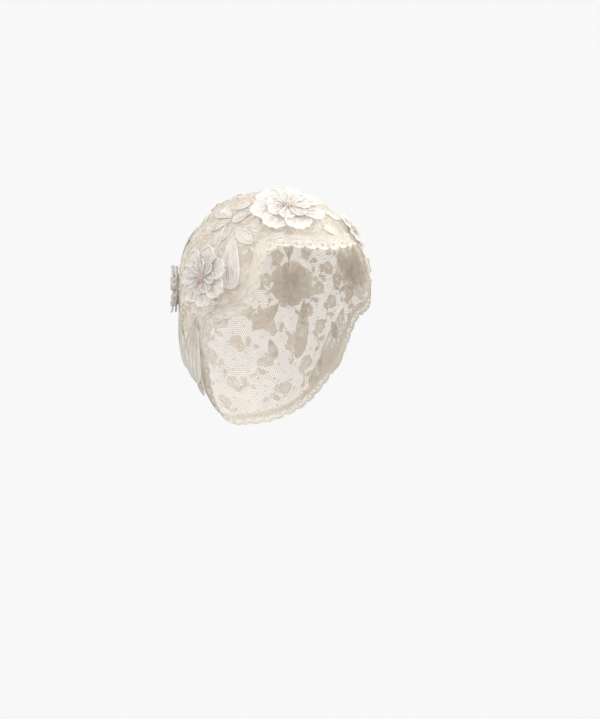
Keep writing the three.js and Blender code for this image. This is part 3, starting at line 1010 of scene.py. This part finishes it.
edging_cord_piece = build_piece("edging_cords_and_eyelashes", edging_cords, [edging_cotton])

# %% [markdown]
# ## Petals
# Each blossom is built as a milliner makes it: petals of solid work, corded round, overlapped like a
# pinwheel and caught down in the middle so that their tips stand off the net. A petal is a lattice laid
# on a curved surface: across it runs u, from -1 to 1, and from the middle to the tip runs v. Its rim is
# cut in shallow lobes.

# %% Petal surface
LACE_LIFT = 0.6
PETAL_NOTCH = 0.26
PETAL_START = 0.1
SPREAD_AT_BASE, SPREAD_AT_TIP = 0.82, 1.08
LOBES, LOBE_DEPTH = 5, 0.06
# Millimetres that one side lifts over its neighbour, both sides curl up and the tip waves.
PETAL_TILT, PETAL_CUP, PETAL_RUFFLE = 1.0, 1.1, 0.6
CUP_BEND, RUFFLE_WAVES = 2.5, 3
# The petal radius, in millimetres, that those three are for.
FULL_SIZE = 27


def smooth(share):
    share = np.clip(share, 0, 1)
    return share * share * (3 - 2 * share)


def petal_surface(blossom, radius, turn, lift, u, v):
    """A petal's flat pattern in millimetres aside and ahead, and its lift."""
    half = math.pi / blossom["petals"]
    share = PETAL_START + (1 - PETAL_START) * v
    swing = -u * half * (SPREAD_AT_BASE + (SPREAD_AT_TIP - SPREAD_AT_BASE) * smooth(share))
    fullness = np.sqrt(np.maximum(np.cos(np.clip(swing / half, -1, 1) * math.pi / 2), 0))
    lobes = 1 - LOBE_DEPTH * (1 - np.abs(np.cos(LOBES * math.pi / 2 * u))) * smooth(share * 2 - 1)
    distance = radius * (1 - PETAL_NOTCH * (1 - fullness)) * lobes * share
    angle = turn + swing
    pattern = np.column_stack([distance * np.cos(angle), distance * np.sin(angle) * blossom["tall"]])
    rise = blossom["rise"] * blossom["radius"] * (distance / blossom["radius"]) ** 2
    size = radius / FULL_SIZE
    cup = size * PETAL_CUP * np.abs(u) ** CUP_BEND * share
    ruffle = size * PETAL_RUFFLE * np.sin(RUFFLE_WAVES * math.pi * u + 2 * turn) * share**3
    return pattern, lift + LACE_LIFT + rise + cup + ruffle + size * PETAL_TILT * u * share


u, v = np.array([-1, 0, 1.0]), np.ones(3)
example = petal_surface({"petals": 7, "rise": 0.17, "radius": 30, "tall": 1}, 30, 0, NET_TOP, u, v)
print("a side petal's tip stands", np.round(example[1].max(), 1), "mm off the inner surface")

# %% [markdown]
# The work of a petal isn't even. Most of it is cloth stitch with pinholes, a window of open net on each
# side of the midrib lets the shadow show through, and the rim, base and midrib are closed.

# %% Petal openwork
RIM_SHARE, BASE_SHARE, MIDRIB_SHARE = 0.92, 0.1, 0.06
CLOTH_HOLES, NET_HOLES = 0.44, 0.7
WINDOW_AT, WINDOW_HALF = (0.36, 0.52), (0.3, 0.24)
SPOT_AT, SPOT_HALF = (0.82, 0.7), 0.06
WORK_CELL = 1.6
CORD_SUNK = 0.4


def petal_openness(u, v):
    """How open a petal is: windows and a small spot beside each, pinholes, and closed borders."""
    aside = np.abs(u)
    across, along = (aside - WINDOW_AT[0]) / WINDOW_HALF[0], (v - WINDOW_AT[1]) / WINDOW_HALF[1]
    spot = np.abs(aside - SPOT_AT[0]) + np.abs(v - SPOT_AT[1]) < SPOT_HALF
    window = (across**2 + along**2 < 1) | spot
    solid = (aside > RIM_SHARE) | (v > RIM_SHARE) | (v < BASE_SHARE) | (aside < MIDRIB_SHARE)
    return np.where(solid, 0, np.where(window, NET_HOLES, CLOTH_HOLES))


def work_patches(place, surface, lattice, openness, lines, radii, reach):
    """The sheet of a petal or leaf and the cords on it. reach is its half width and length."""
    across, along, triangles = lattice
    spots, faces = pierced(np.column_stack([across, along]), triangles, openness(across, along))
    pattern, lift = surface(spots[:, 0], spots[:, 1])
    bake = np.column_stack([(spots[:, 0] + 1) / 2, spots[:, 1]])
    patches = [patch_of(laid(place, pattern, lift), faces, SHEET_FINISH, spots * reach, bake)]
    for (u, v), radius in zip(lines, radii):
        pattern, lift = surface(np.asarray(u, float), np.asarray(v, float))
        directions = reached(place, pattern)
        points = off_surface(directions, lift + radius * CORD_SUNK)
        patches.append(cord_patch(points, outward_at(directions), radius, CORD_FINISH))
    return patches


print("a window is", petal_openness(*np.array(WINDOW_AT)[:, None])[0], "open")

# %% [markdown]
# Cords are sewn over the petal: one round its rim, a midrib and two veins on each side. A last fine one
# runs round the rim in picots, which are tiny loops that stand out from the edge.

# %% Petal cords
RIM_OF_PETAL, RIB_OF_PETAL, PICOT_CORD = 0.66, 0.42, 0.3
VEIN_OF_PETAL = RIB_OF_PETAL * 0.8
PICOT_SPACING, PICOT_REACH = 2.2, 0.75
STEPS_IN_PICOT, PICOTS_SKIP = 4, 4
AT_TIP = 0.99
STEPS_IN_SIDE, STEPS_IN_VEIN = 9, 6
RIM_STARTS, RIM_STEP = 0.08, 1.2
MIDRIB_STARTS, MIDRIB_LENGTH = 0.1, 0.74
# How far aside each vein ends, where it starts and how far up it goes, all as shares of the petal.
PETAL_VEINS = [(0.72, 0.28, 0.46), (0.36, 0.5, 0.38)]
VEIN_BEND = 1.3


def spaced(u, v, reach, spacing):
    """The same line with even steps, measured on a sheet of that half width and length."""
    run = np.concatenate([[0], np.cumsum(np.hypot(np.diff(u) * reach[0], np.diff(v) * reach[1]))])
    even = np.linspace(0, run[-1], max(2, round(run[-1] / spacing)) + 1)
    return np.interp(even, run, u), np.interp(even, run, v)


def picots(u, v, reach):
    """Tiny loops along an outline: it swings out past the rim and back at even steps."""
    u, v = spaced(u, v, reach, PICOT_SPACING / STEPS_IN_PICOT)
    out = PICOT_REACH * np.abs(np.sin(np.pi * np.arange(len(u)) / STEPS_IN_PICOT))
    return u * (1 + out / reach[0]), v * (1 + out / reach[1] * (np.abs(v) > AT_TIP))


def bent_veins(veins, t, way):
    """Lines that leave the midrib and bend out to one side."""
    return [(way * out * t**VEIN_BEND, start + length * t) for out, start, length in veins]


def petal_lines(reach):
    """The outline, picots, midrib and veins, as u and v along each line, with each cord's radius."""
    side = np.linspace(RIM_STARTS, 1, STEPS_IN_SIDE)
    over = np.linspace(-1, 1, STEPS_IN_SIDE)
    edge = np.ones(STEPS_IN_SIDE - 1)
    u = np.concatenate([-edge, over, edge])
    v = np.concatenate([side[:-1], np.ones(STEPS_IN_SIDE), side[-2::-1]])
    outer = slice(PICOTS_SKIP, -PICOTS_SKIP)
    t = np.linspace(0, 1, STEPS_IN_VEIN)
    lines = [spaced(u, v, reach, RIM_STEP), picots(u[outer], v[outer], reach)]
    lines.append((0 * t, MIDRIB_STARTS + MIDRIB_LENGTH * t))
    veins = bent_veins(PETAL_VEINS, t, -1) + bent_veins(PETAL_VEINS, t, 1)
    return lines + veins, [RIM_OF_PETAL, PICOT_CORD, RIB_OF_PETAL, *([VEIN_OF_PETAL] * len(veins))]


print("a petal has", len(petal_lines(np.array([10, 27]))[0]), "cords")

# %% Rings of petals
INNER_PETALS = 0.58
PETAL_HALF_REACH, NARROWEST_SHARE = 0.8, 0.15


def ring_of_petals(blossom, layer, lift):
    """One ring: layer 0 is the outer one, and layer 1 the smaller one that lies in its gaps."""
    radius = blossom["radius"] * INNER_PETALS**layer
    place = place_at(blossom["around"], blossom["up"])
    half = math.pi / blossom["petals"]
    reach = np.array([half * radius * PETAL_HALF_REACH, radius])
    lines, radii = petal_lines(reach)

    def width_at(share):
        return 2 * half * radius * max(share, NARROWEST_SHARE)

    lattice = row_lattice(radius, width_at, WORK_CELL)
    patches = []
    for petal in range(blossom["petals"]):
        turn = (2 * petal + 1 + layer) * half

        def surface(u, v, turn=turn):
            return petal_surface(blossom, radius, turn, lift, u, v)

        patches += work_patches(place, surface, lattice, petal_openness, lines, radii, reach)
    return patches


print("the inner ring is", INNER_PETALS, "of the outer one's radius")

# %% [markdown]
# The middle of a blossom is a cluster of French knots, with a few stamens that lie out over the inner
# petals and end in a knot. Their darker blush thread is painted shade at the blossom's heart. A knot is a
# very short cord that swells and closes again.

# %% Knots and stamens
KNOT_RADIUS, KNOT_HEIGHT, KNOT_EDGE_HEIGHT = 4.5, 2.6, 0.8
KNOT_COUNT, KNOT_BEAD, KNOT_SUNK = 17, 0.95, 0.8
STEPS_IN_BEAD, BEAD_TIP = 6, 0.15
STAMEN_REACH, STAMEN_CORD, STAMEN_LIFT = 7.6, 0.28, 0.7
STAMEN_BEND, STEPS_IN_STAMEN = 0.04, 5
STAMEN_BEAD = KNOT_BEAD * 0.7
# Where a stamen starts in the cluster, how far round its petal, and how short and long by turns.
STAMEN_STARTS, STAMEN_SHIFT = 0.6, 0.4
STAMEN_SHORT, STAMEN_GAINS = 0.85, 0.25


def bead_patch(middle, outward, across, radius, finish):
    """A bead of thread: a cord as long as it is thick, rounded to a ball."""
    angle = np.linspace(BEAD_TIP, math.pi - BEAD_TIP, STEPS_IN_BEAD)
    points = middle - across * (radius * np.cos(angle))[:, None]
    patch = cord_patch(points, np.broadcast_to(outward, points.shape), radius, finish, sides=7)
    rings = patch["points"].reshape(len(angle), -1, 3)
    spokes = rings - points[:, None]
    girth = np.linalg.norm(spokes, axis=-1, keepdims=True)
    rings = points[:, None] + spokes / girth * (radius * np.sin(angle))[:, None, None]
    return {**patch, "points": rings.reshape(-1, 3)}


def knot_patches(blossom, lift):
    """Knots over a low dome, and a stamen for each petal, long and short by turns."""
    place = place_at(blossom["around"], blossom["up"])
    k = np.arange(KNOT_COUNT)
    distance = (KNOT_RADIUS - KNOT_BEAD / 2) * np.sqrt((k + 0.5) / KNOT_COUNT)
    pattern = np.column_stack([np.cos(GOLDEN * k), np.sin(GOLDEN * k)]) * distance[:, None]
    dome = KNOT_HEIGHT + (KNOT_EDGE_HEIGHT - KNOT_HEIGHT) * (distance / KNOT_RADIUS) ** 2
    middles = laid(place, pattern, lift + dome - KNOT_BEAD * KNOT_SUNK)
    patches = [bead_patch(m, place["out"], place["aside"], KNOT_BEAD, SHEET_FINISH) for m in middles]
    for stamen in range(blossom["petals"]):
        reach = STAMEN_REACH * (STAMEN_SHORT + STAMEN_GAINS * (stamen % 2))
        steps = np.linspace(KNOT_RADIUS * STAMEN_STARTS, reach, STEPS_IN_STAMEN)
        angle = (2 * stamen + STAMEN_SHIFT) * math.pi / blossom["petals"] + STAMEN_BEND * steps
        pattern = np.column_stack([np.cos(angle), np.sin(angle)]) * steps[:, None]
        rise = blossom["rise"] * blossom["radius"] * (steps / blossom["radius"]) ** 2
        directions = reached(place, pattern)
        points = off_surface(directions, lift + rise + STAMEN_LIFT)
        outward = outward_at(directions)
        patches.append(cord_patch(points, outward, STAMEN_CORD, SHEET_FINISH, sides=4))
        patches.append(bead_patch(points[-1], place["out"], place["aside"], STAMEN_BEAD, SHEET_FINISH))
    return patches


print("each blossom has", KNOT_COUNT, "knots")

# %% [markdown]
# ## The blossoms
# The table repeats the solids' own places and sizes. Two blossoms have their mirror image on the other
# side of the cap, and each ring of petals and each cluster of knots stands for one solid. A blossom with
# steep petals would look hollow from the side, so a second, lower ring of them lies beneath it.

# %% Blossoms
# The height of each seat off the inner surface, and of one layer of petals, in millimetres.
SEATS = {"net": NET_TOP, "edging": 2.7}
LAYER_STEP = 1.55
# Around and up are in degrees and the radius in millimetres. Tall and rise are shares of the radius.
MIDDLE, LEFT, BOTH = ("",), ("_left",), ("_right", "_left")
BLOSSOM_COLUMNS = ("name", "around", "up", "radius", "tall", "petals", "rise", "layers", "seat", "sides")
BLOSSOMS = [
    dict(zip(BLOSSOM_COLUMNS, row))
    for row in (
        ("crown", 20, 55, 31, 1, 7, 0.13, 2, "net", MIDDLE),
        ("side", 83, 9.5, 30, 0.84, 7, 0.17, 2, "net", BOTH),
        ("temple", 37, 35.5, 16, 1, 5, 0.1, 1, "edging", LEFT),
        ("back", 137, -1, 20, 1, 6, 0.31, 1, "net", BOTH),
        ("back_crown", 180, 44, 27, 1, 6, 0.14, 2, "net", MIDDLE),
    )
]
# The rise above which petals are steep, and the share of it that the ring beneath them keeps.
STEEP, LOW_RING = 0.3, 0.45
BLOSSOM_FINISHES = [blossom_cotton, cord_cotton]


def trim(name, side, patches, finishes):
    """Builds a sewn-on piece on one side of the cap, mirrored for the left."""
    worked = mirrored(patches) if side == "_left" else patches
    build_piece(f"{name}_lace", worked, finishes, [name])


for blossom in BLOSSOMS:
    seat = SEATS[blossom["seat"]]
    for side in blossom["sides"]:
        for layer, ring in enumerate(["petals", "inner_petals"][: blossom["layers"]]):
            patches = ring_of_petals(blossom, layer, seat + layer * LAYER_STEP)
            if blossom["rise"] > STEEP:
                low_ring = {**blossom, "rise": blossom["rise"] * LOW_RING}
                patches += ring_of_petals(low_ring, layer, seat - LACE_LIFT)
            trim(f"{blossom['name']}_blossom{side}_{ring}", side, patches, BLOSSOM_FINISHES)
        # Knots and stamens take the darker blush finish, which is painted shade at the blossom's heart.
        knots = knot_patches(blossom, seat + blossom["layers"] * LAYER_STEP)
        trim(f"{blossom['name']}_blossom{side}_knots", side, knots, [knot_cotton_painted_shade])

# %% [markdown]
# ## The leaves
# Each leaf is placed from a blossom. The long tail leaves hang over the edge behind the ears: they are
# open net above, ribbed along their length, and turn to solid work at the tip. The smaller spray leaves
# have a stem and a saw-toothed edge, and are solid but for slits between their side veins. One loose
# petal lies before the right side blossom and is worked as its petals are. A leaf that leans keeps one
# side down on the net while its other side climbs with the tip.

# %% Leaf surface
# Millimetres, but for the outline, which is fullness and bluntness, and the number of teeth.
KIND_COLUMNS = ("length", "width", "tip_seat", "rise", "outline", "teeth", "ridge")
LEAF_KINDS = {
    "tail": dict(zip(KIND_COLUMNS, (54, 28, "edging", 5, (BLUNT_LEAF, LEAF_BLUNTNESS), 0, 0.8))),
    "spray": dict(zip(KIND_COLUMNS, (31, 14, "net", 0.4, (SLIM_LEAF, LEAF_BLUNTNESS), 6, 0.9))),
    "petal": dict(zip(KIND_COLUMNS, (43, 19, "net", 0.6, (BLUNT_LEAF, PETAL_BLUNTNESS), 0, 0.8))),
}
LEAF_TIP, LEAF_CLEARANCE = 1.5, 1.5
TOOTH_DEPTH, LEAF_CURL = 0.13, 0.1
LEAF_LIFT = -0.3


def leaf_surface(leaf, u, v):
    """A leaf's flat pattern in millimetres aside and ahead, and its lift."""
    kind = LEAF_KINDS[leaf["kind"]]
    widest = kind["width"] * leaf["wide"] / 2
    half = np.maximum(widest * leaf_fullness(v, *kind["outline"]), LEAF_TIP / 2)
    teeth = 1 - TOOTH_DEPTH * np.abs(np.sin(math.pi * kind["teeth"] * v)) * np.abs(u) ** 2
    ahead = v * kind["length"] * leaf["long"]
    tip = SEATS[kind["tip_seat"]] + kind["rise"] * leaf["long"]
    climb = (tip - SEATS["net"]) * smooth(v) * (1 - leaf["lean"] * (1 - u) / 2)
    lift = SEATS["net"] + LEAF_LIFT + climb
    ridge = kind["ridge"] * half / widest * (1 - np.abs(u))
    curl = LEAF_CURL * half * np.abs(u) ** 3
    return np.column_stack([u * half * teeth, ahead]), lift + ridge + curl


print("a tail leaf is", LEAF_KINDS["tail"]["length"], "mm long")

# %% Leaf openwork
# Where each kind's holes lie, aside from the midrib and from stalk to tip, and how open they are.
SPRAY_ASIDE, SPRAY_ALONG, SPRAY_HOLES = (0.15, 0.75), (0.12, 0.88), 0.5
SPRAY_SLITS, SLIT_SLANT, SLIT_FROM = 6, 0.22, 0.75
TAIL_ASIDE, TAIL_ALONG, TAIL_HOLES = 0.93, (0.06, 0.56), 0.68
TAIL_SCALLOP, TAIL_RIBS, TAIL_RIB_EDGE = 0.13, 2, 0.35


def spray_openness(u, v):
    """Slits of eyelets lie between the side veins."""
    aside = np.abs(u)
    between = np.abs(np.sin(math.pi * (SPRAY_SLITS * (v - SLIT_SLANT * aside))))
    inner = (aside > SPRAY_ASIDE[0]) & (aside < SPRAY_ASIDE[1])
    inner &= (v > SPRAY_ALONG[0]) & (v < SPRAY_ALONG[1])
    return np.where(inner & (between > SLIT_FROM), SPRAY_HOLES, 0)


def tail_openness(u, v):
    """Net above, solid along the ribs and at the tip, where it begins in a row of scallops."""
    between = np.abs(np.sin(math.pi * (u + 1) * TAIL_RIBS))
    inner = (np.abs(u) < TAIL_ASIDE) & (v > TAIL_ALONG[0])
    inner &= v < TAIL_ALONG[1] + TAIL_SCALLOP * between
    return np.where(inner & (between > TAIL_RIB_EDGE), TAIL_HOLES, 0)


OPENNESS = {"tail": tail_openness, "spray": spray_openness, "petal": petal_openness}
print("kinds of leaf:", list(OPENNESS))

# %% Leaf cords
RIM_OF_LEAF, RIB_OF_LEAF, STEM_CORD = 0.6, 0.4, 0.85
LEAF_RIM_STEP, STEPS_IN_RIB, STEPS_IN_SIDE_VEIN = 1.4, 12, 5
LEAF_RIB_STARTS, LEAF_RIB_LENGTH = 0.02, 0.9
SIDE_VEIN_OUT, SIDE_VEIN_BACK, SIDE_VEIN_CLIMB = 0.85, 0.06, 0.14
TAIL_RIB_ASIDE, TAIL_RIB_STARTS, TAIL_RIB_LENGTH = 0.5, 0.08, 0.84
LOOSE_PETAL_VEINS = [(0.7, 0.3, 0.5), (0.4, 0.5, 0.4)]


def leaf_lines(leaf, reach):
    """The outline, the midrib, and side veins or ribs, as u and v along each line, with radii."""
    teeth = LEAF_KINDS[leaf["kind"]]["teeth"]
    side = np.linspace(0, 1, round(reach[1] / LEAF_RIM_STEP))
    u = np.concatenate([np.full(len(side), -1.0), np.full(len(side) - 1, 1.0)])
    v = np.concatenate([side, side[-2::-1]])
    t, s = np.linspace(0, 1, STEPS_IN_RIB), np.linspace(0, 1, STEPS_IN_SIDE_VEIN)
    lines = [(u, v), (0 * t, LEAF_RIB_STARTS + LEAF_RIB_LENGTH * t)]
    for way in (-1, 1):
        for vein in range(1, teeth):
            climb = vein / teeth - SIDE_VEIN_BACK + SIDE_VEIN_CLIMB * s
            lines.append((way * SIDE_VEIN_OUT * s, climb))
        if leaf["kind"] == "tail":
            lines.append((way * TAIL_RIB_ASIDE + 0 * t, TAIL_RIB_STARTS + TAIL_RIB_LENGTH * t))
        if leaf["kind"] == "petal":
            lines += bent_veins(LOOSE_PETAL_VEINS, t, way)
    radii = [RIM_OF_LEAF] + [RIB_OF_LEAF] * (len(lines) - 1)
    if leaf["kind"] == "petal":
        outer = slice(PICOTS_SKIP, -PICOTS_SKIP)
        lines.append(picots(u[outer], v[outer], reach))
        radii.append(PICOT_CORD)
    return lines, radii


print("a leaf's stem is", 2 * STEM_CORD, "mm thick")

# %% Leaf patches
NARROWEST_ROW = 2.0
STEM_STARTS, STEPS_IN_STEM = 0.8, 8


def leaf_at(stalk, leaf):
    """A leaf's patches, from the place of its stalk."""
    kind = LEAF_KINDS[leaf["kind"]]
    length, width = kind["length"] * leaf["long"], kind["width"] * leaf["wide"]

    def width_at(share):
        return max(NARROWEST_ROW, width * leaf_fullness(share, *kind["outline"]))

    def surface(u, v):
        return leaf_surface(leaf, u, v)

    reach = np.array([width / 2, length])
    lattice = row_lattice(length, width_at, WORK_CELL)
    lines, radii = leaf_lines(leaf, reach)
    return work_patches(stalk, surface, lattice, OPENNESS[leaf["kind"]], lines, radii, reach)


def leaf_patches(leaf):
    """A leaf that springs from a blossom, and its stem."""
    blossom = next(b for b in BLOSSOMS if b["name"] == leaf["blossom"])
    kind = LEAF_KINDS[leaf["kind"]]
    start = turned(place_at(blossom["around"], blossom["up"]), leaf["bearing"])
    to_stalk = blossom["radius"] + LEAF_CLEARANCE + leaf["beyond"] * kind["length"] * leaf["long"]
    patches = leaf_at(turned(walked(start, to_stalk), leaf["turn"]), leaf)
    if kind["teeth"]:
        steps = np.linspace(blossom["radius"] * STEM_STARTS, to_stalk, STEPS_IN_STEM)
        pattern = np.column_stack([0 * steps, steps])
        patches.append(cord_on_net(start, pattern, STEM_CORD, CORD_FINISH, sides=5))
    return patches


sample_leaf = {"kind": "spray", "long": 1, "wide": 1, "lean": 0}
print("a spray leaf has", len(leaf_at(place_at(0, 60), sample_leaf)), "patches")

# %% Leaves
# Bearing and turn are in degrees, beyond counts leaf lengths, and long and wide are shares of the kind.
RIGHT = ("_right",)
LEAF_COLUMNS = ("name", "blossom", "bearing", "beyond", "turn", "kind", "long", "wide", "lean", "sides")
LEAVES = [
    dict(zip(LEAF_COLUMNS, row))
    for row in (
        ("tail_leaf_long", "side", -158, 0.1, -6, "tail", 0.96, 0.9, 0, BOTH),
        ("tail_leaf_back", "back", 139, -0.02, 46, "tail", 0.9, 0.5, 1, BOTH),
        ("tail_leaf_tip", "side", -159, 1.95, -10, "tail", 0.45, 0.36, 0, BOTH),
        ("face_leaf", "side", 35, 0.22, 131, "petal", 1, 1, 0, RIGHT),
        ("temple_leaf", "side", 26, 0.7, 90, "spray", 0.78, 0.8, 0, RIGHT),
        ("ear_leaf", "side", 18, 1.1, -178, "spray", 0.48, 0.7, 0, RIGHT),
        ("crown_side_leaf", "side", 7, 0.78, -77, "spray", 1, 1, 0, BOTH),
        ("crown_leaf_right", "crown", -84, 0.1, 3, "spray", 0.5, 0.8, 0, MIDDLE),
        ("crown_leaf_left", "crown", 89, 0.12, 5, "spray", 0.44, 0.76, 0, MIDDLE),
        ("back_top_leaf", "back", -4, 0.08, 4, "spray", 1.1, 1, 0, BOTH),
        ("back_leaf", "back", -148, 0.02, 14, "spray", 1, 1, 0, BOTH),
        ("nape_leaf", "back_crown", 142, 0.02, 24, "spray", 1.1, 1.1, 0, BOTH),
    )
]
for leaf in LEAVES:
    finishes = BLOSSOM_FINISHES if leaf["kind"] == "petal" else [leaf_cotton, leaf_cord_cotton]
    for side in leaf["sides"]:
        trim(leaf["name"] + side, side, leaf_patches(leaf), finishes)

# %% [markdown]
# Between them, small leaves are worked straight onto the net. They are as thin as the sprigs, so no
# solid stands for them. Each row says where a leaf's stalk is, which way it points, its length and width
# as shares of a spray leaf's, and its sides.

# %% Leaves worked on the net
NET_LEAVES = [
    (74, 47.5, -113, 0.7, 0.66, BOTH),
    (77.5, 56, 50, 0.46, 0.54, BOTH),
    (118, 44, -70, 0.6, 0.6, BOTH),
    (104, -24, 150, 0.56, 0.56, BOTH),
    (158, 8, -24, 0.66, 0.6, BOTH),
    (150, -32, 165, 0.6, 0.56, BOTH),
    (25, 37.5, -118, 0.5, 0.56, MIDDLE),
    (-1, 37, 104, 0.52, 0.6, MIDDLE),
    (-15, 49, 112, 0.56, 0.62, MIDDLE),
]
worked = []
for around, up, turn, long, wide, sides in NET_LEAVES:
    leaf = {"kind": "spray", "long": long, "wide": wide, "lean": 0}
    patches = leaf_at(turned(place_at(around, up), turn), leaf)
    worked += patches + (mirrored(patches) if len(sides) == 2 else [])
build_piece("net_worked_leaves", worked, [leaf_cotton, leaf_cord_cotton])

# %% [markdown]
# ## The cloth's thread area
# The net and the edging are cloth. The net was cut from a piece as long as the arc over the crown from
# brow to nape and as wide as the arc from ear to ear, and the edging is a strip as long as the cap's
# border. Their areas are printed in square metres. A net's area is that of its threads: the holes are
# left out, because they aren't cloth.

def thread_area(piece):
    return sum(face.area for face in piece.data.polygons)


print("net threads", round(thread_area(net_piece), 4), "m2")
print("edging threads", round(thread_area(edging_piece), 4), "m2")
